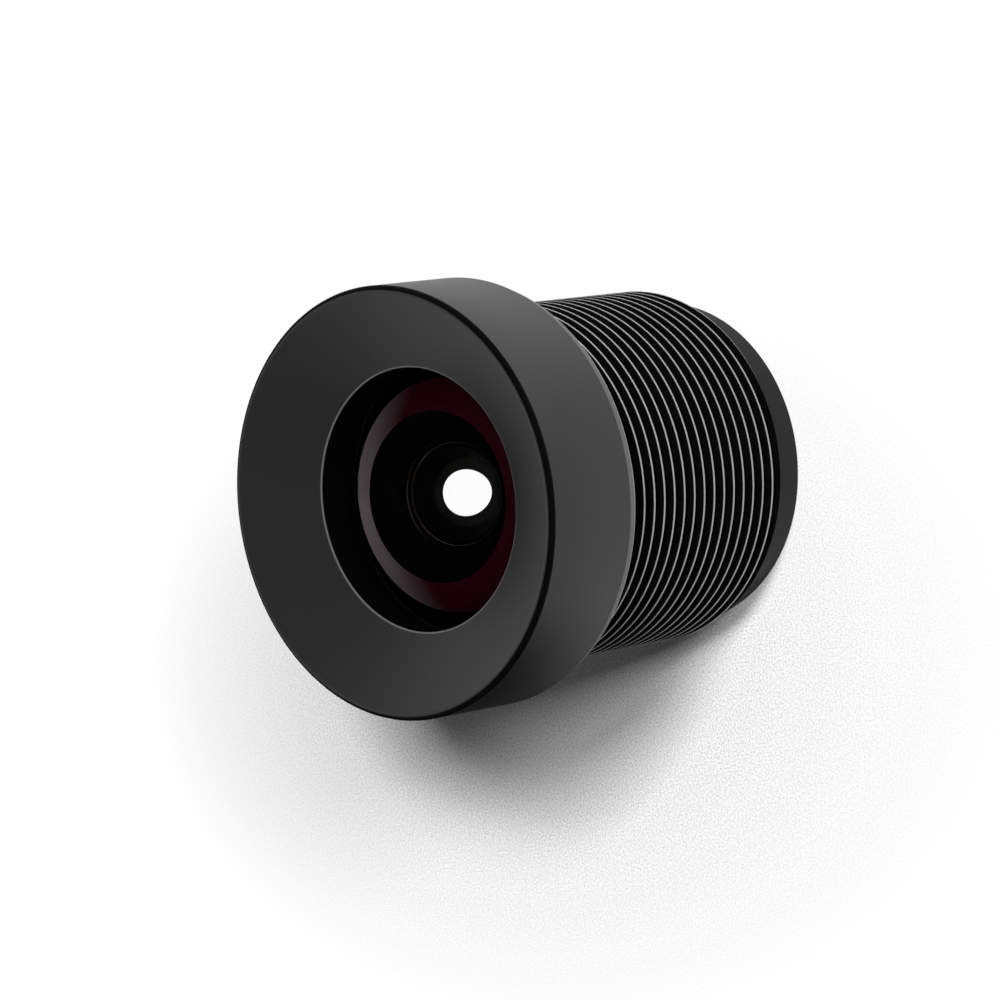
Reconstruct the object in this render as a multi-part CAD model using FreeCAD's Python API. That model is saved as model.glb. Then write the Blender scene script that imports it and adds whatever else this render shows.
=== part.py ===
# M12 board camera lens: a turned barrel with the glass stack that slides in from its rear.
# Millimetres. +Z is the optical axis. The rear nose stands on Z = 0 and the front glass looks up.
# Every piece is a body of revolution, so each is drawn as a half section and turned about the axis.
import FreeCAD, Part
import math
import os

V = FreeCAD.Vector
ORIGIN = V(0, 0, 0)
AXIS = V(0, 0, 1)

# Barrel, outside. The M12 x 0.5 thread is drawn at its crest diameter, inside the 6g range.
total_length = 14.20
head_dia = 14.06
head_length = 4.12
thread_dia = 11.92
relief_dia = 11.26
relief_width = 0.30
nose_dia = 10.88
nose_length = 1.32
rim_rounding = 0.18
head_rear_chamfer = 0.14
head_rear_chamfer_length = 0.38
thread_start_chamfer = 0.30
nose_chamfer = 0.06

# Barrel, front: a dished cone runs down to a sharp round hole, and the lip is undercut behind it.
# The angle is the cone's slope against the front plane, in degrees.
dish_angle = 28.0
hole_dia = 8.60
hole_land = 0.12
lip_back_dia = 9.32

# Barrel, inside: one straight bore from the rear up to the seat behind the lip.
bore_dia = 9.90
bore_mouth_chamfer = 0.12
fit = 0.02

# Spherical glass faces: a radius is positive where the ball's centre lies behind the face.
# A reach is how far out from the axis the polished face runs, and what is left is ground flat.
glass_bevel = 0.06

# Front lens: a steep dome with a nearly half-round hollow behind it and a ground bevel round that.
seat_depth = 1.88
front_lens_ball = 5.70
front_lens_reach = 4.56
front_lens_thickness = 0.50
front_lens_hollow_ball = 2.55
front_lens_hollow_reach = 2.40
front_lens_edge_thickness = 0.62
front_lens_bevel_reach = 3.20

# Second and third lens: a weak meniscus and a strong positive, with a thin foil between their rims.
air_behind_front_lens = 1.54
cell_lens_dia = 5.20
second_lens_thickness = 0.60
second_lens_front_ball = 6.60
second_lens_rear_ball = 16.0
second_lens_reach = 2.20
third_lens_thickness = 1.30
third_lens_front_ball = 19.0
third_lens_rear_ball = -6.52
third_lens_rear_reach = 2.00
foil_thickness = 0.10

# Front cell: the black ring that carries lenses two and three, with a small cone-shaped snout
# that reaches into the front lens's bevel.
snout_wall = 0.10
snout_gap = 0.12
cell_throat_behind_third_lens = 0.80
cell_throat_dia = 2.50

# Aperture stop: a thin disc with a knife-edged hole.
stop_thickness = 0.10
stop_hole_dia = 1.68
stop_edge_chamfer = 0.06

# Cemented pair: the crown's rear ball is the flint's hollow.
crown_dia = 4.40
crown_front_ball = -4.00
crown_front_reach = 1.20
crown_air = 0.20
crown_thickness = 2.37
cement_ball = -2.50
flint_dia = 5.20
flint_thickness = 1.00
flint_hollow_reach = 2.35
flint_rear_ball = -3.89

# Rear lens
rear_lens_dia = 6.70
rear_lens_air = 0.12
rear_lens_thickness = 2.57
rear_lens_front_ball = 18.0
rear_lens_front_reach = 2.90
rear_lens_rear_ball = -8.79
rear_lens_rear_reach = 3.05
field_baffle_dia = 5.84

# Rear end: spacer, flat filter and the threaded ring that closes the stack.
rear_cell_length = 4.76
clamp_gap = 0.05
rear_spacer_dia = 6.24
filter_dia = 7.80
filter_thickness = 0.30
filter_behind_rear_lens = 0.70
ring_thickness = 0.90
ring_hole_dia = 6.80
spanner_slot_width = 0.90
spanner_slot_depth = 0.45

# The rounding takes the tip off the rim, so the cone aims a little above the finished front.
dish_slope = math.radians(dish_angle)
dish_rise = (head_dia - hole_dia) / 2 * math.tan(dish_slope)
rim_loss = rim_rounding * ((1 + math.sin(dish_slope)) / math.cos(dish_slope) - 1)
hole_height = total_length - dish_rise + rim_loss
stack_radius = bore_dia / 2 - fit


def at(depth):
    """Height above the nose end of a point that lies this deep behind the hole's edge."""
    return hole_height - depth


def sagitta(ball, reach):
    """How much deeper a spherical face lies at its reach than at its apex."""
    return ball - math.copysign(math.sqrt(ball ** 2 - reach ** 2), ball)


def halfway(apex, ball, reach):
    """The point of a spherical face that is half its reach from the axis."""
    return reach / 2, apex + sagitta(ball, reach / 2)


def lathe(section):
    """Turn a closed half section about the axis. A step is (radius, depth), or (radius, depth, through)
    where an arc through that third point leads to it."""
    edges = []
    for start, end in zip(section, section[1:] + section[:1]):
        here = V(start[0], 0, at(start[1]))
        there = V(end[0], 0, at(end[1]))
        if len(end) == 3:
            through = V(end[2][0], 0, at(end[2][1]))
            edges.append(Part.Arc(here, through, there).toShape())
        else:
            edges.append(Part.LineSegment(here, there).toShape())
    return Part.Face(Part.Wire(edges)).revolve(ORIGIN, AXIS, 360)


def lens(front_apex, front_ball, front_reach, rear_apex, rear_ball, rear_reach, edge_radius):
    """A round lens: two polished spherical faces, ground flats beyond their reach, bevelled rim."""
    front_rim = front_apex + sagitta(front_ball, front_reach)
    rear_rim = rear_apex + sagitta(rear_ball, rear_reach)
    section = [(0, front_apex), (front_reach, front_rim, halfway(front_apex, front_ball, front_reach))]
    if front_reach < edge_radius - glass_bevel:
        section += [(edge_radius - glass_bevel, front_rim), (edge_radius, front_rim + glass_bevel)]
    if rear_reach < edge_radius - glass_bevel:
        section += [(edge_radius, rear_rim - glass_bevel), (edge_radius - glass_bevel, rear_rim)]
    section += [(rear_reach, rear_rim), (0, rear_apex, halfway(rear_apex, rear_ball, rear_reach))]
    return lathe(section)


def ring(inner_radius, outer_radius, front, rear):
    """A flat washer between two depths."""
    corners = [(inner_radius, front), (outer_radius, front), (outer_radius, rear), (inner_radius, rear)]
    return lathe(corners)


# Where each face lies, worked out from the front seat rearwards.
front_lens_apex = seat_depth - sagitta(front_lens_ball, front_lens_reach)
front_lens_hollow_apex = front_lens_apex + front_lens_thickness
front_lens_hollow_rim = front_lens_hollow_apex + sagitta(front_lens_hollow_ball, front_lens_hollow_reach)
front_lens_back = seat_depth + front_lens_edge_thickness

cell_lens_radius = cell_lens_dia / 2
second_lens_apex = front_lens_hollow_apex + air_behind_front_lens
second_lens_rear_apex = second_lens_apex + second_lens_thickness
second_lens_back = second_lens_rear_apex + sagitta(second_lens_rear_ball, second_lens_reach)
third_lens_face = second_lens_back + foil_thickness
third_lens_apex = third_lens_face - sagitta(third_lens_front_ball, second_lens_reach)
third_lens_rear_apex = third_lens_apex + third_lens_thickness
third_lens_back = third_lens_rear_apex + sagitta(third_lens_rear_ball, third_lens_rear_reach)

stop_face = third_lens_back + cell_throat_behind_third_lens
rear_cell_face = stop_face + stop_thickness
crown_apex = rear_cell_face + crown_air
crown_rear_apex = crown_apex + crown_thickness
flint_face = crown_rear_apex + sagitta(cement_ball, flint_hollow_reach)
flint_rear_apex = crown_rear_apex + flint_thickness
rear_lens_apex = flint_rear_apex + rear_lens_air
rear_lens_face = rear_lens_apex + sagitta(rear_lens_front_ball, rear_lens_front_reach)
rear_lens_rear_apex = rear_lens_apex + rear_lens_thickness
rear_lens_back = rear_lens_rear_apex + sagitta(rear_lens_rear_ball, rear_lens_rear_reach)
field_baffle_face = rear_lens_face - foil_thickness
rear_cell_back = rear_cell_face + rear_cell_length
filter_face = rear_lens_rear_apex + filter_behind_rear_lens
filter_back = filter_face + filter_thickness
ring_back = filter_back + ring_thickness


def make_barrel():
    """The head, its dished face, the thread and the nose, turned in one piece from bar."""
    head_radius = head_dia / 2
    thread_radius = thread_dia / 2
    nose_radius = nose_dia / 2
    relief_radius = relief_dia / 2
    hole_radius = hole_dia / 2
    bore_radius = bore_dia / 2
    front = hole_height - total_length
    shoulder = front + head_length
    nose_end = hole_height
    thread_end = nose_end - nose_length
    rim_centre = (head_radius - rim_rounding, front + rim_rounding)
    dish_edge = (rim_centre[0] - rim_rounding * math.sin(dish_slope),
                 rim_centre[1] - rim_rounding * math.cos(dish_slope))
    section = [
        (hole_radius, 0),
        dish_edge,
        (head_radius, rim_centre[1], (rim_centre[0], front)),
        (head_radius, shoulder - head_rear_chamfer_length),
        (head_radius - head_rear_chamfer, shoulder),
        (relief_radius, shoulder),
        (relief_radius, shoulder + relief_width),
        (thread_radius, shoulder + relief_width + thread_radius - relief_radius),
        (thread_radius, thread_end - thread_start_chamfer),
        (thread_radius - thread_start_chamfer, thread_end),
        (nose_radius, thread_end),
        (nose_radius, nose_end - nose_chamfer),
        (nose_radius - nose_chamfer, nose_end),
        (bore_radius + bore_mouth_chamfer, nose_end),
        (bore_radius, nose_end - bore_mouth_chamfer),
        (bore_radius, seat_depth),
        (lip_back_dia / 2, seat_depth),
        (hole_radius, hole_land),
    ]
    return lathe(section)


def make_front_lens():
    """Dome in front, deep hollow behind, with a ground bevel and a flat that the front cell presses."""
    section = [
        (0, front_lens_apex),
        (front_lens_reach, seat_depth, halfway(front_lens_apex, front_lens_ball, front_lens_reach)),
        (stack_radius - glass_bevel, seat_depth),
        (stack_radius, seat_depth + glass_bevel),
        (stack_radius, front_lens_back - glass_bevel),
        (stack_radius - glass_bevel, front_lens_back),
        (front_lens_bevel_reach, front_lens_back),
        (front_lens_hollow_reach, front_lens_hollow_rim),
        (0, front_lens_hollow_apex,
         halfway(front_lens_hollow_apex, front_lens_hollow_ball, front_lens_hollow_reach)),
    ]
    return lathe(section)


def make_front_cell():
    """Ring with a bore for lenses two and three, a seat behind them and a conical throat to the stop."""
    pocket_radius = cell_lens_radius + fit
    bevel_run = front_lens_bevel_reach - front_lens_hollow_reach
    bevel_slope = (front_lens_back - front_lens_hollow_rim) / bevel_run
    tip_radius = pocket_radius + snout_wall
    tip = front_lens_hollow_rim + (tip_radius - front_lens_hollow_reach) * bevel_slope + snout_gap
    root_radius = tip_radius + (front_lens_back - tip) / bevel_slope
    section = [
        (pocket_radius, tip),
        (tip_radius, tip),
        (root_radius, front_lens_back),
        (stack_radius, front_lens_back),
        (stack_radius, stop_face),
        (cell_throat_dia / 2, stop_face),
        (third_lens_rear_reach + fit, third_lens_back),
        (pocket_radius, third_lens_back),
    ]
    return lathe(section)


def make_aperture_stop():
    """Thin disc whose hole has a knife edge at the front."""
    hole_radius = stop_hole_dia / 2
    section = [
        (hole_radius, stop_face),
        (stack_radius, stop_face),
        (stack_radius, rear_cell_face),
        (hole_radius + stop_edge_chamfer, rear_cell_face),
    ]
    return lathe(section)


def make_rear_cell():
    """Ring with stepped bores: the crown's, the flint's with its seat, and the rear lens's pocket."""
    flint_pocket = flint_dia / 2 + fit
    rear_pocket = rear_lens_dia / 2 + fit
    section = [
        (crown_dia / 2 + fit, rear_cell_face),
        (stack_radius, rear_cell_face),
        (stack_radius, rear_cell_back),
        (rear_pocket, rear_cell_back),
        (rear_pocket, field_baffle_face),
        (flint_pocket, field_baffle_face),
        (flint_pocket, flint_face),
        (crown_dia / 2 + fit, flint_face),
    ]
    return lathe(section)


def make_rear_spacer():
    """Ring that clamps the rear lens by its rim and holds the filter in a shallow pocket."""
    front = rear_cell_back + clamp_gap
    section = [
        (rear_lens_dia / 2 + fit, front),
        (stack_radius, front),
        (stack_radius, filter_back),
        (filter_dia / 2 + fit, filter_back),
        (filter_dia / 2 + fit, filter_face),
        (rear_spacer_dia / 2, filter_face),
        (rear_spacer_dia / 2, rear_lens_back),
        (rear_lens_dia / 2 + fit, rear_lens_back),
    ]
    return lathe(section)


def make_retaining_ring():
    """Threaded ring with two slots for a pin spanner, recessed inside the nose."""
    blank = ring(ring_hole_dia / 2, bore_dia / 2, filter_back, ring_back)
    slot = Part.makeBox(bore_dia, spanner_slot_width, spanner_slot_depth)
    slot.translate(V(-bore_dia / 2, -spanner_slot_width / 2, at(ring_back)))
    return blank.cut(slot)


pieces = {
    "barrel": make_barrel(),
    "front_lens": make_front_lens(),
    "front_cell": make_front_cell(),
    "second_lens": lens(second_lens_apex, second_lens_front_ball, cell_lens_radius,
                        second_lens_rear_apex, second_lens_rear_ball, second_lens_reach, cell_lens_radius),
    "baffle_foil": ring(second_lens_reach, cell_lens_radius, second_lens_back, third_lens_face),
    "third_lens": lens(third_lens_apex, third_lens_front_ball, second_lens_reach,
                       third_lens_rear_apex, third_lens_rear_ball, third_lens_rear_reach, cell_lens_radius),
    "aperture_stop": make_aperture_stop(),
    "rear_cell": make_rear_cell(),
    "crown_lens": lens(crown_apex, crown_front_ball, crown_front_reach,
                       crown_rear_apex, cement_ball, crown_dia / 2, crown_dia / 2),
    "flint_lens": lens(crown_rear_apex, cement_ball, flint_hollow_reach,
                       flint_rear_apex, flint_rear_ball, flint_dia / 2, flint_dia / 2),
    "field_baffle": ring(field_baffle_dia / 2, rear_lens_dia / 2, field_baffle_face, rear_lens_face),
    "rear_lens": lens(rear_lens_apex, rear_lens_front_ball, rear_lens_front_reach,
                      rear_lens_rear_apex, rear_lens_rear_ball, rear_lens_rear_reach, rear_lens_dia / 2),
    "rear_spacer": make_rear_spacer(),
    "filter_glass": ring(0, filter_dia / 2, filter_face, filter_back),
    "retaining_ring": make_retaining_ring(),
}

os.makedirs("parts", exist_ok=True)
for name, shape in pieces.items():
    shape.exportStep("parts/" + name + ".step")
    box = shape.BoundBox
    print(f"{name:15s} volume {shape.Volume:8.3f}  z {box.ZMin:7.3f} {box.ZMax:7.3f}  valid {shape.isValid()}")
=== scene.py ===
import math

import bmesh
import bpy
from mathutils import Matrix, Vector


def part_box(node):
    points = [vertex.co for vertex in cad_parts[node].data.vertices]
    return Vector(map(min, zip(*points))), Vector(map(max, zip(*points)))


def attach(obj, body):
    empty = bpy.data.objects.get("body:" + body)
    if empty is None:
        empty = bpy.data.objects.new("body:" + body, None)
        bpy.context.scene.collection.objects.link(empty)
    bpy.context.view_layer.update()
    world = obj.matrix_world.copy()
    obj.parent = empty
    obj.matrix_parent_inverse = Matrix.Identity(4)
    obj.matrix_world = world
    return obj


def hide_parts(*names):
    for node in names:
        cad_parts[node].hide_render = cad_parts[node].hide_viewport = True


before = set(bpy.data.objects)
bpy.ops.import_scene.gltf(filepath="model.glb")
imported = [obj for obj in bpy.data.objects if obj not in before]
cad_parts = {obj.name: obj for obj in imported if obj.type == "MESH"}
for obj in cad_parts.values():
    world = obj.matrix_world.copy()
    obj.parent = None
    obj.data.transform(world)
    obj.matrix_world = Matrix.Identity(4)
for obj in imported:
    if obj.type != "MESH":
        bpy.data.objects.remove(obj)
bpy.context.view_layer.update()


# Barrel: the one piece that holds everything. It is turned from aluminium bar, with a dished head,
# a fine M12 thread cut along the body and a plain nose, then satin anodised black all over. Bright
# bare metal is painted on the thread's crests, the corners behind the head and the hole's edge as
# painted highlights, and a duller near-black painted shade darkens the grooves, the undercut, the
# rim rounding and the nose.

MM = 0.001
barrel_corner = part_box("barrel")[1] / MM
total_length = barrel_corner.z
head_radius = barrel_corner.x
head_length = 4.12
rim_rounding = 0.18
head_rear_chamfer = 0.14
head_rear_chamfer_length = 0.38
dish_slope = math.radians(28.0)
hole_radius = 4.30
hole_land = 0.12
lip_back_radius = 4.66
seat_depth = 1.88
bore_radius = 4.95
bore_mouth_chamfer = 0.12
nose_radius = 5.44
nose_length = 1.32
nose_chamfer = 0.06
thread_radius = 5.96
thread_pitch = 0.5
thread_depth = 0.6134 * thread_pitch
thread_start_chamfer = 0.30
relief_radius = 5.63
relief_width = 0.30
crest_height_on_x = 5.672

dish_rise = (head_radius - hole_radius) * math.tan(dish_slope)
rim_loss = rim_rounding * ((1 + math.sin(dish_slope)) / math.cos(dish_slope) - 1)
hole_height = total_length - dish_rise + rim_loss
shoulder_height = total_length - head_length
thread_end = shoulder_height - relief_width
seat_height = hole_height - seat_depth

COLUMNS_AROUND = 192
CRISP_CORNER = math.radians(28)
WELD = 0.0006 * MM
SLIVER = 0.0002 * MM


def bend(centre, radius, start, end, steps):
    """Points along an arc in the (radius, height) plane, between two angles in degrees."""
    turns = [math.radians(start + (end - start) * step / steps) for step in range(steps + 1)]
    return [(centre[0] + radius * math.cos(turn), centre[1] + radius * math.sin(turn))
            for turn in turns]


def round_axis(turn, radius, height):
    """The place at an angle round the axis, for a radius and a height in millimetres."""
    toward = Vector((math.cos(turn), math.sin(turn), 0))
    return (toward * radius + Vector((0, 0, height))) * MM


def skin(mesh, columns, finish_index=0):
    """Faces between each column of points and the next one."""
    for here, there in zip(columns, columns[1:]):
        for low in range(len(here) - 1):
            face = mesh.faces.new((here[low], there[low], there[low + 1], here[low + 1]))
            face.material_index = finish_index


def spin(mesh, outline, finish_index=0):
    """Sweep an outline of (radius, height) points once round the axis."""
    columns = []
    for side in range(COLUMNS_AROUND):
        turn = 2 * math.pi * side / COLUMNS_AROUND
        columns.append([mesh.verts.new(round_axis(turn, r, z)) for r, z in outline])
    skin(mesh, columns + columns[:1], finish_index)


def thread_drop(phase):
    """How far the 60 degree thread lies under its crest, at a phase counted from the crest."""
    away = abs(phase - round(phase))
    crest_half = 0.050
    rounded_to = 0.085
    root_from = 0.40
    root_middle = 0.5
    flank = 1.732 * thread_pitch
    flank_from = (crest_half + rounded_to) / 2
    if away < crest_half:
        return 0.0
    if away < rounded_to:
        return (away - crest_half) ** 2 / (rounded_to - crest_half) * flank / 2
    if away < root_from:
        return (away - flank_from) * flank
    root_start = (root_from - flank_from) * flank
    into_root = (away - root_from) / (root_middle - root_from)
    return root_start + (thread_depth - root_start) * math.sin(into_root * math.pi / 2)


def thread_radius_at(height, turn):
    """Radius of the threaded body, with the chamfer at its start and the run-out at its end."""
    phase = (height - crest_height_on_x) / thread_pitch - turn
    cut = thread_radius - thread_drop(phase)
    start_cone = thread_radius - thread_start_chamfer + (height - nose_length)
    run_out_cone = relief_radius + (thread_end - height)
    return min(cut, start_cone, run_out_cone)


def cut_thread(mesh):
    """A strip that climbs with the helix, so that its edges follow the crest exactly. The phases
    are the places across one pitch where the strip bends, counted from a crest."""
    phases = [0.0, 0.05, 0.062, 0.074, 0.085, 0.24, 0.40, 0.45,
              0.50, 0.55, 0.60, 0.76, 0.915, 0.926, 0.938, 0.95]
    first = math.floor((nose_length - crest_height_on_x) / thread_pitch) - 1
    last = math.ceil((thread_end - crest_height_on_x) / thread_pitch) + 1
    steps = [whole + phase for whole in range(first, last) for phase in phases]
    columns = []
    for side in range(COLUMNS_AROUND + 1):
        part = side / COLUMNS_AROUND
        column = []
        for step in steps:
            height = crest_height_on_x + (step + part) * thread_pitch
            height = min(max(height, nose_length), thread_end)
            radius = thread_radius_at(height, part)
            column.append(mesh.verts.new(round_axis(2 * math.pi * part, radius, height)))
        columns.append(column)
    skin(mesh, columns)


def make_object(name, mesh):
    """An object in the scene from a finished mesh."""
    data = bpy.data.meshes.new(name)
    mesh.to_mesh(data)
    mesh.free()
    made = bpy.data.objects.new(name, data)
    bpy.context.scene.collection.objects.link(made)
    return made


def settle(name, mesh, finishes, node):
    """Close the mesh, shade it with crisp corners, and put the piece in its node's place."""
    bmesh.ops.remove_doubles(mesh, verts=mesh.verts, dist=WELD)
    bmesh.ops.dissolve_degenerate(mesh, edges=mesh.edges, dist=SLIVER)
    bmesh.ops.recalc_face_normals(mesh, faces=mesh.faces)
    for face in mesh.faces:
        face.smooth = True
    piece = make_object(name, mesh)
    piece.data.set_sharp_from_angle(angle=CRISP_CORNER)
    for finish in finishes:
        piece.data.materials.append(finish.material)
    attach(piece, "root")
    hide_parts(node)
    return piece


class Signal:
    """One output socket of a finish. Arithmetic on it adds the Math nodes."""

    def __init__(self, finish, socket):
        self.finish = finish
        self.socket = socket

    def math(self, operation, *values):
        return self.finish.node("ShaderNodeMath", dict(enumerate(values)), operation=operation)

    def __add__(self, other):
        return self.math("ADD", self, other)

    def __radd__(self, other):
        return self.math("ADD", other, self)

    def __sub__(self, other):
        return self.math("SUBTRACT", self, other)

    def __rsub__(self, other):
        return self.math("SUBTRACT", other, self)

    def __mul__(self, other):
        return self.math("MULTIPLY", self, other)

    def __rmul__(self, other):
        return self.math("MULTIPLY", other, self)

    def __pow__(self, other):
        return self.math("POWER", self, other)

    def capped(self):
        """The same, but never over 1."""
        return self.math("MINIMUM", self, 1.0)

    def between(self, low, high):
        """0 up to the low value, 1 from the high value, and a straight rise between them."""
        return self.finish.node("ShaderNodeMapRange", {
            "Value": self, "From Min": low, "From Max": high})

    def past(self, border, softness):
        """0 before a border and 1 past it, in millimetres, with a change that soft to each side."""
        return self.between((border - softness) * MM, (border + softness) * MM)


class Finish:
    """A material, or the light of the room, built node by node."""

    def __init__(self, name, kept_in=bpy.data.materials, result="ShaderNodeOutputMaterial"):
        self.material = kept_in.new(name)
        self.material.use_nodes = True
        self.tree = self.material.node_tree
        self.tree.nodes.clear()
        self.result = result

    def node(self, kind, inputs=None, output=0, **settings):
        """Add a node: its settings first, then a value or a link for each named socket."""
        made = self.tree.nodes.new(kind)
        for key, value in settings.items():
            setattr(made, key, value)
        for key, value in (inputs or {}).items():
            if isinstance(value, Signal):
                self.tree.links.new(value.socket, made.inputs[key])
            else:
                made.inputs[key].default_value = value
        return Signal(self, made.outputs[output]) if len(made.outputs) else made

    def tint(self, mask, plain, changed):
        """A colour that goes from plain to changed as the mask goes from 0 to 1. The colour
        sockets of a Mix node are inputs 6 and 7 and output 2."""
        return self.node("ShaderNodeMix", {"Factor": mask, 6: plain + (1,), 7: changed + (1,)},
                         output=2, data_type="RGBA")

    def layer(self, mask, under, over):
        """One shader that gives way to another as the mask goes from 0 to 1."""
        return self.node("ShaderNodeMixShader", {0: mask, 1: under, 2: over})

    def close(self, shader):
        """Send the shader to the output, which completes the finish."""
        self.node(self.result, {"Surface": shader})
        return self


def position(finish, axis):
    """One coordinate, X, Y or Z, of each place on the surface, in metres."""
    place = finish.node("ShaderNodeTexCoord", output="Object")
    return finish.node("ShaderNodeSeparateXYZ", {"Vector": place}, output=axis)


def axis_distance(finish):
    """How far each place on the surface lies from the optical axis, in metres."""
    x = position(finish, "X")
    y = position(finish, "Y")
    return (x * x + y * y) ** 0.5


def lathe_marks(finish, spacing, depth):
    """Grain, and the bump of the fine rings that a turning tool leaves, evenly on walls and
    faces. Spacing and depth are in millimetres."""
    grain_size = 0.045
    across = finish.node("ShaderNodeCombineXYZ", {
        "X": axis_distance(finish), "Y": position(finish, "Z")})
    rings = finish.node("ShaderNodeTexNoise", {
        "Vector": across, "Scale": 1 / (spacing * MM), "Detail": 3.0})
    place = finish.node("ShaderNodeTexCoord", output="Object")
    grain = finish.node("ShaderNodeTexNoise", {
        "Vector": place, "Scale": 1 / (grain_size * MM), "Detail": 2.0})
    bump = finish.node("ShaderNodeBump", {
        "Strength": 1.0, "Distance": depth * MM, "Height": rings * 0.5 + grain * 0.5})
    return grain, bump


black_dye = (0.0035, 0.0035, 0.0037)
# Painted highlight colour: bare aluminium, laid where bright lines of light fall on crests and
# edges.
highlight_aluminium = (0.62, 0.62, 0.63)
# Painted shade colour: near black, for the grooves, the undercut, the rim rounding and the nose.
shade_black = (0.0012, 0.0012, 0.0012)
crest_highlight = 0.75
rear_corner_highlight = 0.45
rear_chamfer_highlight = 0.12
lip_highlight = 0.16
nose_shade = 0.45

# Where one finish borders on the next: the place, and how soft the change is to each side.
thread_start_border = (nose_length + 0.02, 0.01)
thread_end_border = (shoulder_height - 0.02, 0.01)
crest_border = (thread_radius - 0.0065, 0.0035)
groove_border = (thread_radius - 0.0165, 0.0085)
rear_corner_border = (shoulder_height + 0.045, 0.015)
rear_chamfer_border = (shoulder_height + head_rear_chamfer_length, 0.01)
head_wall_border = (head_radius - 0.16, 0.01)
bore_border = (bore_radius + 0.04, 0.01)
undercut_border = (hole_height - 0.04, 0.01)
rim_wall_border = (head_radius - 0.15, 0.02)
rim_top_border = (total_length - 0.17, 0.02)
lip_border = (hole_radius + 0.045, 0.015)
lip_top_border = (hole_height - 0.015, 0.005)
nose_border = (nose_length - 0.02, 0.01)

anodised_black = Finish("anodised_black_aluminium")
wall_radius = axis_distance(anodised_black)
wall_height = position(anodised_black, "Z")
wall_grain, wall_bump = lathe_marks(anodised_black, spacing=0.06, depth=0.0004)

in_thread = wall_height.past(*thread_start_border) * (1 - wall_height.past(*thread_end_border))
crest = in_thread * wall_radius.past(*crest_border)
groove = in_thread * (1 - wall_radius.past(*groove_border))
rear_corner = 1 - wall_height.past(*rear_corner_border)
rear_chamfer = 1 - wall_height.past(*rear_chamfer_border)
on_head = wall_radius.past(*head_wall_border)
undercut = (1 - wall_radius.past(*bore_border)) * (1 - wall_height.past(*undercut_border))
rim = wall_radius.past(*rim_wall_border) * wall_height.past(*rim_top_border)
lip_edge = (1 - wall_radius.past(*lip_border)) * wall_height.past(*lip_top_border)
on_nose = 1 - wall_height.past(*nose_border)

# Painted highlights: bright bare metal on the crests, the corners behind the head and the hole's
# edge.
head_highlight = on_head * (rear_corner * rear_corner_highlight + rear_chamfer * rear_chamfer_highlight)
painted_highlight = crest * crest_highlight + head_highlight + lip_edge * lip_highlight
satin = anodised_black.node("ShaderNodeBsdfPrincipled", {
    "Base Color": anodised_black.tint(painted_highlight, black_dye, highlight_aluminium), "Metallic": painted_highlight,
    "Roughness": 0.36 + wall_grain * 0.08, "IOR": 1.66, "Normal": wall_bump})
# Painted shade: a near-black, duller layer over the grooves, the undercut, the rim rounding and
# part of the nose.
shaded = anodised_black.node("ShaderNodeBsdfPrincipled", {
    "Base Color": shade_black + (1,), "Roughness": 0.55 + wall_grain * 0.1, "IOR": 1.14,
    "Normal": wall_bump})
painted_shade = (groove + undercut + rim + on_nose * nose_shade).capped()
anodised_black.close(anodised_black.layer(painted_shade, satin, shaded))

rim_centre = (head_radius - rim_rounding, total_length - rim_rounding)
rim_steps = 12
barrel_outline = [(relief_radius, thread_end), (relief_radius, shoulder_height)]
barrel_outline += [(head_radius - head_rear_chamfer, shoulder_height)]
barrel_outline += [(head_radius, shoulder_height + head_rear_chamfer_length)]
barrel_outline += bend(rim_centre, rim_rounding, 0, 90 + math.degrees(dish_slope), rim_steps)
barrel_outline += [(hole_radius, hole_height), (hole_radius, hole_height - hole_land)]
barrel_outline += [(lip_back_radius, seat_height), (bore_radius, seat_height)]
barrel_outline += [(bore_radius, bore_mouth_chamfer), (bore_radius + bore_mouth_chamfer, 0)]
barrel_outline += [(nose_radius - nose_chamfer, 0), (nose_radius, nose_chamfer)]
barrel_outline += [(nose_radius, nose_length), (thread_radius - thread_start_chamfer, nose_length)]
barrel_mesh = bmesh.new()
spin(barrel_mesh, barrel_outline)
cut_thread(barrel_mesh)
settle("threaded_barrel", barrel_mesh, [anodised_black], "barrel")


# Front lens: the domed glass behind the hole, with a nearly half-round hollow at its back. Its two
# polished faces are coated against reflections, its ground rim is painted black, and its flat back
# and bevel are painted too: a deep red that is a painted reflection of the coating, turning pale
# towards one side as painted light. The seat holds its rim.

front_ball = 5.70
front_reach = 4.56
front_steps = 72
front_thickness = 0.45
front_edge_thickness = 0.62
front_bevel_reach = 3.20
hollow_ball = 2.55
hollow_reach = 2.40
glass_bevel = 0.06
stack_radius = bore_radius - 0.02


def sagitta(ball, reach):
    """How much lower a spherical face lies at its reach than at its apex."""
    return ball - math.copysign(math.sqrt(ball ** 2 - reach ** 2), ball)


def ball_face(apex, ball, reach, steps=28):
    """Points from the axis out to the reach of a spherical face."""
    radii = [reach * math.sin(math.pi / 2 * step / steps) for step in range(steps + 1)]
    return [(radius, apex - sagitta(ball, radius)) for radius in radii]


def coated_glass(name, index, residue):
    """Clear glass with an antireflection coating: face on it sends back next to nothing, and that
    of one colour, and more only where the glass is seen along its surface."""
    face_on = 0.002
    along_surface = 0.7
    steepness = 14.0
    finish = Finish(name)
    clear = finish.node("ShaderNodeBsdfRefraction", {
        "Color": (1, 1, 1, 1), "Roughness": 0.0, "IOR": index})
    coating = finish.node("ShaderNodeBsdfPrincipled", {
        "Base Color": residue + (1,), "Roughness": 0.0, "Metallic": 1.0})
    slant = finish.node("ShaderNodeLayerWeight", {"Blend": 0.5}, output="Facing")
    sent_back = slant ** steepness * along_surface + face_on
    return finish.close(finish.layer(sent_back, clear, coating))


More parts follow.
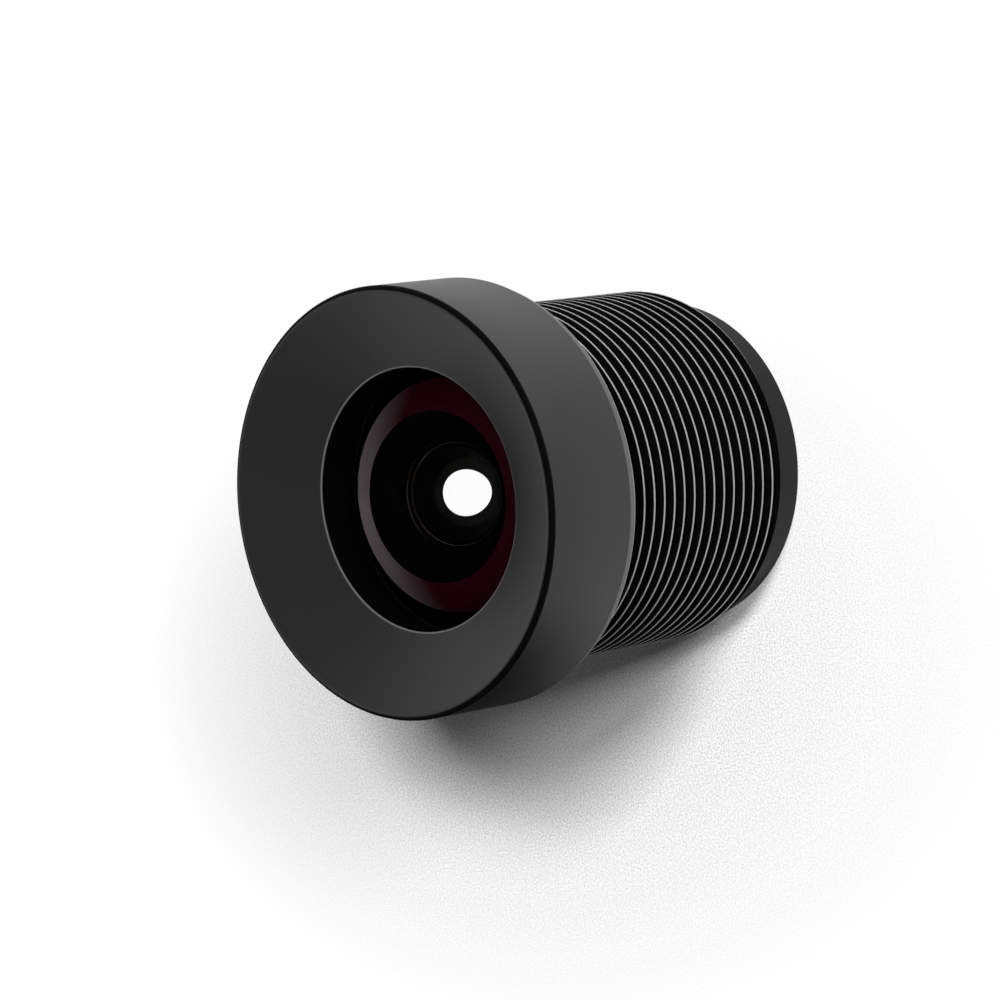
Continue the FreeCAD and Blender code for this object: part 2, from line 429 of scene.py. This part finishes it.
def matt_paint(finish, tone, roughness):
    """Matt paint with a faint grain, as brushed on ground glass or baked on foil."""
    grain, bump = lathe_marks(finish, spacing=0.10, depth=0.0008)
    return finish.close(finish.node("ShaderNodeBsdfPrincipled", {
        "Base Color": tone, "Roughness": roughness + grain * 0.1, "IOR": 1.2, "Normal": bump}))


front_glass = coated_glass("front_lens_glass", index=1.80, residue=(0.60, 0.44, 0.47))
hollow_glass = coated_glass("front_lens_hollow_glass", index=1.80, residue=(0.06, 0.02, 0.03))
rim_paint = matt_paint(Finish("lens_rim_paint"), (0.002, 0.002, 0.002, 1), roughness=0.55)

# Painted reflection and light: the red stands in for the coating's reflection seen through the
# glass, and the pale side for light falling on that side.
painted_red_reflection = (0.055, 0.0005, 0.010)
painted_pale_light = (0.92, 0.84, 0.87)
red_up_to = 0.8
pale_from = 4.2
back_paint = Finish("front_lens_back_paint")
pale_light_side = position(back_paint, "Y").between(red_up_to * MM, pale_from * MM) ** 1.5
matt_paint(back_paint, back_paint.tint(pale_light_side, painted_red_reflection, painted_pale_light), roughness=0.55)

front_apex = seat_height + sagitta(front_ball, front_reach)
front_back = seat_height - front_edge_thickness
hollow_apex = front_apex - front_thickness
hollow_rim = hollow_apex - sagitta(hollow_ball, hollow_reach)
front_mesh = bmesh.new()
spin(front_mesh, ball_face(front_apex, front_ball, front_reach, front_steps), 0)
spin(front_mesh, [(front_reach, seat_height), (stack_radius - glass_bevel, seat_height),
                  (stack_radius, seat_height - glass_bevel),
                  (stack_radius, front_back + glass_bevel),
                  (stack_radius - glass_bevel, front_back)], 1)
spin(front_mesh, [(stack_radius - glass_bevel, front_back), (front_bevel_reach, front_back),
                  (hollow_reach, hollow_rim)], 2)
spin(front_mesh, ball_face(hollow_apex, hollow_ball, hollow_reach), 3)
settle("front_lens_dome", front_mesh, [front_glass, rim_paint, back_paint, hollow_glass],
       "front_lens")


# Second lens: a weak meniscus of clear glass, ground and polished, with both faces coated and its
# rim painted black. It drops into the pocket of the front cell.

cell_lens_radius = 2.60
cell_reach = 2.20
second_gap = 1.59
second_thickness = 0.60
second_front_ball = 6.60
second_rear_ball = 16.0
second_apex = hollow_apex - second_gap
second_rear_apex = second_apex - second_thickness
second_back = second_rear_apex - sagitta(second_rear_ball, cell_reach)


def grind_lens(name, faces, edge_radius, glass, node):
    """A lens from its two polished faces, each (apex, ball, reach), and its painted rim."""
    (top_apex, top_ball, top_reach), (low_apex, low_ball, low_reach) = faces
    top = top_apex - sagitta(top_ball, top_reach)
    low = low_apex - sagitta(low_ball, low_reach)
    edge = [(top_reach, top)]
    if top_reach < edge_radius - glass_bevel:
        edge += [(edge_radius - glass_bevel, top), (edge_radius, top - glass_bevel)]
    if low_reach < edge_radius - glass_bevel:
        edge += [(edge_radius, low + glass_bevel), (edge_radius - glass_bevel, low)]
    edge += [(low_reach, low)]
    mesh = bmesh.new()
    spin(mesh, ball_face(top_apex, top_ball, top_reach), 0)
    spin(mesh, edge, 1)
    spin(mesh, ball_face(low_apex, low_ball, low_reach), 0)
    settle(name, mesh, [glass, rim_paint], node)


second_glass = coated_glass("second_lens_glass", index=1.55, residue=(0.08, 0.03, 0.05))
grind_lens("second_lens_meniscus", [(second_apex, second_front_ball, cell_lens_radius),
           (second_rear_apex, second_rear_ball, cell_reach)], cell_lens_radius,
           second_glass, "second_lens")


# Baffle foil: a thin ring stamped from black-painted foil, laid between the second and the third
# lens. Its hole trims stray light, and a pale, bare-metal-like tint on the cut edge of the hole is
# a painted highlight for the bright crescent seen there.

foil_thickness = 0.10
foil_back = second_back - foil_thickness
foil_paint = (0.002, 0.002, 0.002)
# Painted highlight: a pale tint on the hole's cut edge, for the bright crescent seen there.
foil_edge_highlight = (0.30, 0.24, 0.25)
cut_edge_border = (cell_reach + 0.02, 0.01)


def turn_ring(name, outline, finish, node):
    """A turned or stamped ring from its closed outline."""
    mesh = bmesh.new()
    spin(mesh, outline + outline[:1])
    settle(name, mesh, [finish], node)


foil_black = Finish("foil_black")
# The cut edge of the hole carries the painted highlight.
cut_edge = 1 - axis_distance(foil_black).past(*cut_edge_border)
matt_paint(foil_black, foil_black.tint(cut_edge, foil_paint, foil_edge_highlight), roughness=0.6)
turn_ring("baffle_foil_ring", [
    (cell_reach, foil_back), (cell_lens_radius, foil_back), (cell_lens_radius, second_back),
    (cell_reach, second_back)], foil_black, "baffle_foil")


# Third lens: a strong positive of clear glass, nearly flat in front and bulged behind, with both
# faces coated and its rim painted black. It lies behind the second lens in the same pocket.

third_thickness = 1.30
third_front_ball = 19.0
third_rear_ball = -6.52
third_rear_reach = 2.00
third_apex = foil_back + sagitta(third_front_ball, cell_reach)
third_rear_apex = third_apex - third_thickness
third_back = third_rear_apex - sagitta(third_rear_ball, third_rear_reach)
third_glass = coated_glass("third_lens_glass", index=1.83, residue=(0.06, 0.03, 0.04))
grind_lens("third_lens_positive", [(third_apex, third_front_ball, cell_reach),
           (third_rear_apex, third_rear_ball, third_rear_reach)], cell_lens_radius,
           third_glass, "third_lens")


# Front cell: a turned and blackened aluminium ring that carries those two lenses. Its snout reaches
# into the front lens's bevel, and behind the third lens its throat narrows to the stop.

fit = 0.02
snout_wall = 0.10
snout_gap = 0.12
throat_length = 0.80
throat_radius = 1.25
blackening = (0.0015, 0.0015, 0.0015)

blackened = Finish("blackened_aluminium")
cell_grain, cell_bump = lathe_marks(blackened, spacing=0.09, depth=0.0008)
blackened.close(blackened.node("ShaderNodeBsdfPrincipled", {
    "Base Color": blackening + (1,), "Roughness": 0.40 + cell_grain * 0.12, "IOR": 1.16,
    "Normal": cell_bump}))

pocket_radius = cell_lens_radius + fit
bevel_slope = (hollow_rim - front_back) / (front_bevel_reach - hollow_reach)
tip_radius = pocket_radius + snout_wall
tip = hollow_rim - (tip_radius - hollow_reach) * bevel_slope - snout_gap
root_radius = tip_radius + (tip - front_back) / bevel_slope
stop_face = third_back - throat_length
turn_ring("front_cell_ring", [
    (pocket_radius, tip), (tip_radius, tip), (root_radius, front_back), (stack_radius, front_back),
    (stack_radius, stop_face), (throat_radius, stop_face), (third_rear_reach + fit, third_back),
    (pocket_radius, third_back)], blackened, "front_cell")


# Aperture stop: a thin blackened disc, clamped between the two cells. Its knife-edged hole is the
# round window that the light of the table comes through.

stop_thickness = 0.10
stop_hole = 0.84
stop_knife = 0.06
rear_cell_face = stop_face - stop_thickness
turn_ring("aperture_stop_disc", [
    (stop_hole, stop_face), (stack_radius, stop_face), (stack_radius, rear_cell_face),
    (stop_hole + stop_knife, rear_cell_face)], blackened, "aperture_stop")


# Cemented pair: a thick crown glass glued into the hollow of a flint glass, so that the two share
# one steep face. The outer faces are coated and the rims are painted black.

crown_radius = 2.20
crown_reach = 1.20
crown_gap = 0.20
crown_thickness = 2.37
crown_front_ball = -4.00
cement_ball = -2.50
flint_radius = 2.60
flint_reach = 2.35
flint_thickness = 1.00
flint_rear_ball = -3.89
crown_apex = rear_cell_face - crown_gap
crown_rear_apex = crown_apex - crown_thickness
flint_rear_apex = crown_rear_apex - flint_thickness
crown_glass = coated_glass("crown_lens_glass", index=1.62, residue=(0.10, 0.04, 0.06))
flint_glass = coated_glass("flint_lens_glass", index=1.85, residue=(0.06, 0.03, 0.04))
grind_lens("crown_lens_biconvex", [(crown_apex, crown_front_ball, crown_reach),
           (crown_rear_apex, cement_ball, crown_radius)], crown_radius,
           crown_glass, "crown_lens")
grind_lens("flint_lens_meniscus", [(crown_rear_apex, cement_ball, flint_reach),
           (flint_rear_apex, flint_rear_ball, flint_radius)], flint_radius,
           flint_glass, "flint_lens")


# Rear cell: the turned and blackened aluminium ring round the cemented pair. Its pocket behind the
# pair takes the rear lens, and it is pressed against the stop by what lies behind it.

rear_cell_length = 4.76
rear_lens_radius = 3.35
rear_lens_gap = 0.12
rear_front_ball = 18.0
rear_front_reach = 2.90
rear_pocket = rear_lens_radius + fit
rear_lens_apex = flint_rear_apex - rear_lens_gap
rear_lens_face = rear_lens_apex - sagitta(rear_front_ball, rear_front_reach)
baffle_face = rear_lens_face + foil_thickness
flint_face = crown_rear_apex - sagitta(cement_ball, flint_reach)
rear_cell_back = rear_cell_face - rear_cell_length
turn_ring("rear_cell_ring", [
    (crown_radius + fit, rear_cell_face), (stack_radius, rear_cell_face),
    (stack_radius, rear_cell_back), (rear_pocket, rear_cell_back), (rear_pocket, baffle_face),
    (flint_radius + fit, baffle_face), (flint_radius + fit, flint_face),
    (crown_radius + fit, flint_face)], blackened, "rear_cell")


# Field baffle: a second ring of the same stamped black foil. It lies on the step of the rear
# cell's pocket, in front of the rear lens, and keeps light off the walls.

baffle_hole = 2.92
turn_ring("field_baffle_ring", [
    (baffle_hole, baffle_face), (rear_lens_radius, baffle_face),
    (rear_lens_radius, rear_lens_face), (baffle_hole, rear_lens_face)],
    foil_black, "field_baffle")


# Rear lens: the last glass with power, thick and bulged most behind, with both faces coated and
# its rim painted black. It sits in the rear cell's pocket.

rear_lens_thickness = 2.57
rear_rear_ball = -8.79
rear_rear_reach = 3.05
rear_lens_rear_apex = rear_lens_apex - rear_lens_thickness
rear_lens_back = rear_lens_rear_apex - sagitta(rear_rear_ball, rear_rear_reach)
rear_glass = coated_glass("rear_lens_glass", index=1.62, residue=(0.10, 0.04, 0.06))
grind_lens("rear_lens_biconvex", [(rear_lens_apex, rear_front_ball, rear_front_reach),
           (rear_lens_rear_apex, rear_rear_ball, rear_rear_reach)], rear_lens_radius,
           rear_glass, "rear_lens")


# Rear spacer: a turned and blackened aluminium ring. Its front edge clamps the rim of the rear
# lens, and the step in its back carries the filter.

filter_radius = 3.90
filter_gap = 0.70
filter_thickness = 0.30
filter_face = rear_lens_rear_apex - filter_gap
filter_back = filter_face - filter_thickness
spacer_hole = 3.12
spacer_clearance = 0.05
spacer_face = rear_cell_back - spacer_clearance
turn_ring("rear_spacer_ring", [
    (rear_pocket, spacer_face), (stack_radius, spacer_face), (stack_radius, filter_back),
    (filter_radius + fit, filter_back), (filter_radius + fit, filter_face),
    (spacer_hole, filter_face), (spacer_hole, rear_lens_back), (rear_pocket, rear_lens_back)],
    blackened, "rear_spacer")


# Filter: a flat disc of polished glass, laid in the spacer's step. Its infrared-cut coating sends
# back red.

filter_glass = coated_glass("filter_glass_coated", index=1.52, residue=(0.50, 0.10, 0.10))
filter_mesh = bmesh.new()
spin(filter_mesh, [(0, filter_face), (filter_radius, filter_face), (filter_radius, filter_back),
                   (0, filter_back)])
settle("filter_disc", filter_mesh, [filter_glass], "filter_glass")


# Retaining ring: turned from aluminium and anodised black like the barrel. It is screwed in behind
# the filter with a pin spanner, which needs the two slots, and holds the whole stack.

ring_thickness = 0.90
ring_hole = 3.40
ring_outer_chamfer = 0.08
ring_hole_chamfer = 0.1
slot_reach = 3 * bore_radius
slot_half = 0.45
slot_depth = 0.45
ring_back = filter_back - ring_thickness
ring_mesh = bmesh.new()
spin(ring_mesh, [(ring_hole, filter_back), (bore_radius, filter_back),
                 (bore_radius, ring_back + ring_outer_chamfer),
                 (bore_radius - ring_outer_chamfer, ring_back),
                 (ring_hole + ring_hole_chamfer, ring_back),
                 (ring_hole, ring_back + ring_hole_chamfer), (ring_hole, filter_back)])
retaining_ring = settle("slotted_ring", ring_mesh, [anodised_black], "retaining_ring")

slot_mesh = bmesh.new()
slot_block = bmesh.ops.create_cube(slot_mesh, size=1)["verts"]
bmesh.ops.scale(slot_mesh, verts=slot_block,
                vec=Vector((slot_reach, 2 * slot_half, 2 * slot_depth)) * MM)
bmesh.ops.translate(slot_mesh, verts=slot_block, vec=Vector((0, 0, ring_back)) * MM)
slot_cutter = make_object("slot_cutter", slot_mesh)
cut = retaining_ring.modifiers.new("slots", "BOOLEAN")
cut.operation = "DIFFERENCE"
cut.solver = "EXACT"
cut.object = slot_cutter
bpy.context.view_layer.update()
ring_with_slots = retaining_ring.evaluated_get(bpy.context.evaluated_depsgraph_get())
slotted_data = bpy.data.meshes.new_from_object(ring_with_slots)
retaining_ring.modifiers.clear()
retaining_ring.data = slotted_data
slotted_data.set_sharp_from_angle(angle=CRISP_CORNER)
bpy.data.objects.remove(slot_cutter)


# Table: a plain white table with a fine grain, which takes the lens's shadow. Away from a given
# spot near the shadow the camera sees it glow plain white, and glass shows it clean white too. Its
# mirror image in the black finish is painted dark towards one side, a painted shade that darkens
# the walls of the head.

table_half = 0.8
fibre_scale = 15000.0
fibre_depth = 0.00005
fibre_grey = (0.48, 0.48, 0.48)
fibre_white = (1.0, 1.0, 1.0)
fibre_range = (0.28, 0.68)
shadow_stretch = (1.6, 1.0, 1.0)
shadow_centre = (-0.010, 0.007, 0.0)
shadow_core = 0.009
shadow_reach = 0.021
mirror_lean = 0.8
mirror_level = 0.68
mirror_dark_edge = (-0.018, -0.006)
mirror_bright_edge = (0.008, 0.016)

table_finish = Finish("white_table")
table_place = table_finish.node("ShaderNodeTexCoord", output="Object")
fibres = table_finish.node("ShaderNodeTexNoise", {
    "Vector": table_place, "Scale": fibre_scale, "Detail": 3.0, "Roughness": 0.6})
table_bump = table_finish.node("ShaderNodeBump", {
    "Strength": 0.35, "Distance": fibre_depth, "Height": fibres})
table_tone = table_finish.tint(fibres.between(*fibre_range), fibre_grey, fibre_white)
lit = table_finish.node("ShaderNodeBsdfPrincipled", {
    "Base Color": table_tone, "Roughness": 1.0, "Specular IOR Level": 0.0,
    "Normal": table_bump})
glow = table_finish.node("ShaderNodeEmission", {"Color": (1, 1, 1, 1), "Strength": 1.0})
unlit = table_finish.node("ShaderNodeEmission", {"Color": (1, 1, 1, 1), "Strength": 0.03})

seen = table_finish.node("ShaderNodeLightPath", output="Is Camera Ray")
through = table_finish.node("ShaderNodeLightPath", output="Is Transmission Ray")
mirrored = table_finish.node("ShaderNodeLightPath", output="Is Glossy Ray")
stretched = table_finish.node("ShaderNodeVectorMath", {0: table_place, 1: shadow_stretch},
                              operation="MULTIPLY")
away = table_finish.node("ShaderNodeVectorMath", {0: stretched, 1: shadow_centre},
                         output="Value", operation="DISTANCE")
clean_white = away.between(shadow_core, shadow_reach)
across = position(table_finish, "X")
leaning = across - position(table_finish, "Y") * mirror_lean
mirror_tone = mirror_level + across.between(*mirror_bright_edge) * (1 - mirror_level)
# Painted shade: glossy rays see the table turn dark towards one side, where nothing shades it.
dark_side = mirrored * (1 - leaning.between(*mirror_dark_edge) * mirror_tone)
graded = table_finish.layer(dark_side, lit, unlit)
table_finish.close(table_finish.layer(seen * clean_white + through, graded, glow))

table_mesh = bmesh.new()
bmesh.ops.create_grid(table_mesh, x_segments=8, y_segments=8, size=table_half)
table = make_object("table", table_mesh)
table.data.materials.append(table_finish.material)


# Room: a dim studio that brightens towards one large window and behind the camera, which gives the
# black finish its sheen. Diffuse light finds it dimmer, glass finds it brighter, and the camera
# sees plain white.

toward_window = (0.10, 0.995, 0.0)
toward_front = (0.0, -0.80, 0.60)
window_spread = (-0.1, 1.1)
front_spread = (0.3, 1.2)
window_level = 0.75
front_level = 0.45
base_level = 0.03
diffuse_loss = 0.9
glass_gain = 0.6

room = Finish("room", bpy.data.worlds, "ShaderNodeOutputWorld")
bpy.context.scene.world = room.material
outward = room.node("ShaderNodeTexCoord", output="Generated")
window = room.node("ShaderNodeVectorMath", {0: outward, 1: toward_window},
                   output="Value", operation="DOT_PRODUCT")
front = room.node("ShaderNodeVectorMath", {0: outward, 1: toward_front},
                  output="Value", operation="DOT_PRODUCT")
inside = room.node("ShaderNodeLightPath", output="Is Transmission Ray")
bounced = room.node("ShaderNodeLightPath", output="Is Diffuse Ray")
room_seen = room.node("ShaderNodeLightPath", output="Is Camera Ray")
sheen = window.between(*window_spread) * window_level + front.between(*front_spread) * front_level
level = (sheen + base_level) * (1 - bounced * diffuse_loss) + inside * glass_gain
dim = room.node("ShaderNodeBackground", {"Color": (0.03, 0.03, 0.03, 1)})
bright = room.node("ShaderNodeBackground", {"Color": (1, 1, 1, 1)})
room.close(room.layer(room_seen, room.layer(level, dim, bright), bright))


# Lamps: two square soft lamps, both high on the camera's side. They light the table and draw the
# shadow, and neither the black finish nor the glass shows them.

lamp_size = 0.10
lens_middle = Vector((0, 0, 0.007))


def softbox(name, place, power):
    """A square soft lamp that faces the lens."""
    lamp = bpy.data.lights.new(name, "AREA")
    lamp.shape = "SQUARE"
    lamp.size = lamp_size
    lamp.energy = power
    stand = bpy.data.objects.new(name, lamp)
    stand.location = place
    stand.rotation_euler = (lens_middle - Vector(place)).to_track_quat("-Z", "Y").to_euler()
    stand.visible_glossy = False
    stand.visible_transmission = False
    bpy.context.scene.collection.objects.link(stand)


softbox("key_softbox", (0.128, -0.250, 0.413), power=2.4)
softbox("side_softbox", (0.112, -0.408, 0.265), power=1.4)


# Camera: close to the head, looking down on the dished face, and rolled on its side, which shows
# the lens lying down with its axis across the picture. Light crosses fourteen polished faces on its
# way through the stack, so a ray may be bent and sent back far more often than usual.

camera_data = bpy.data.cameras.new("camera")
camera_data.lens = 172.6
camera_data.sensor_width = 36
camera_data.clip_start = 0.01
aim = Vector((-0.40, 0, 8.985)) * MM
elevation = math.radians(47.06)
roll = math.radians(98.59)
distance = 157.6 * MM
backward = Vector((0, -math.cos(elevation), math.sin(elevation)))
level_right = Vector((1, 0, 0))
level_up = backward.cross(level_right)
right = level_right * math.cos(roll) - level_up * math.sin(roll)
up = level_right * math.sin(roll) + level_up * math.cos(roll)
camera = bpy.data.objects.new("camera", camera_data)
camera.matrix_world = Matrix((right, up, backward)).transposed().to_4x4()
camera.location = aim + backward * distance
bpy.context.scene.collection.objects.link(camera)
bpy.context.scene.camera = camera

bpy.context.scene.view_settings.view_transform = "Standard"
bpy.context.scene.cycles.max_bounces = 32
bpy.context.scene.cycles.transmission_bounces = 32
bpy.context.scene.cycles.glossy_bounces = 16
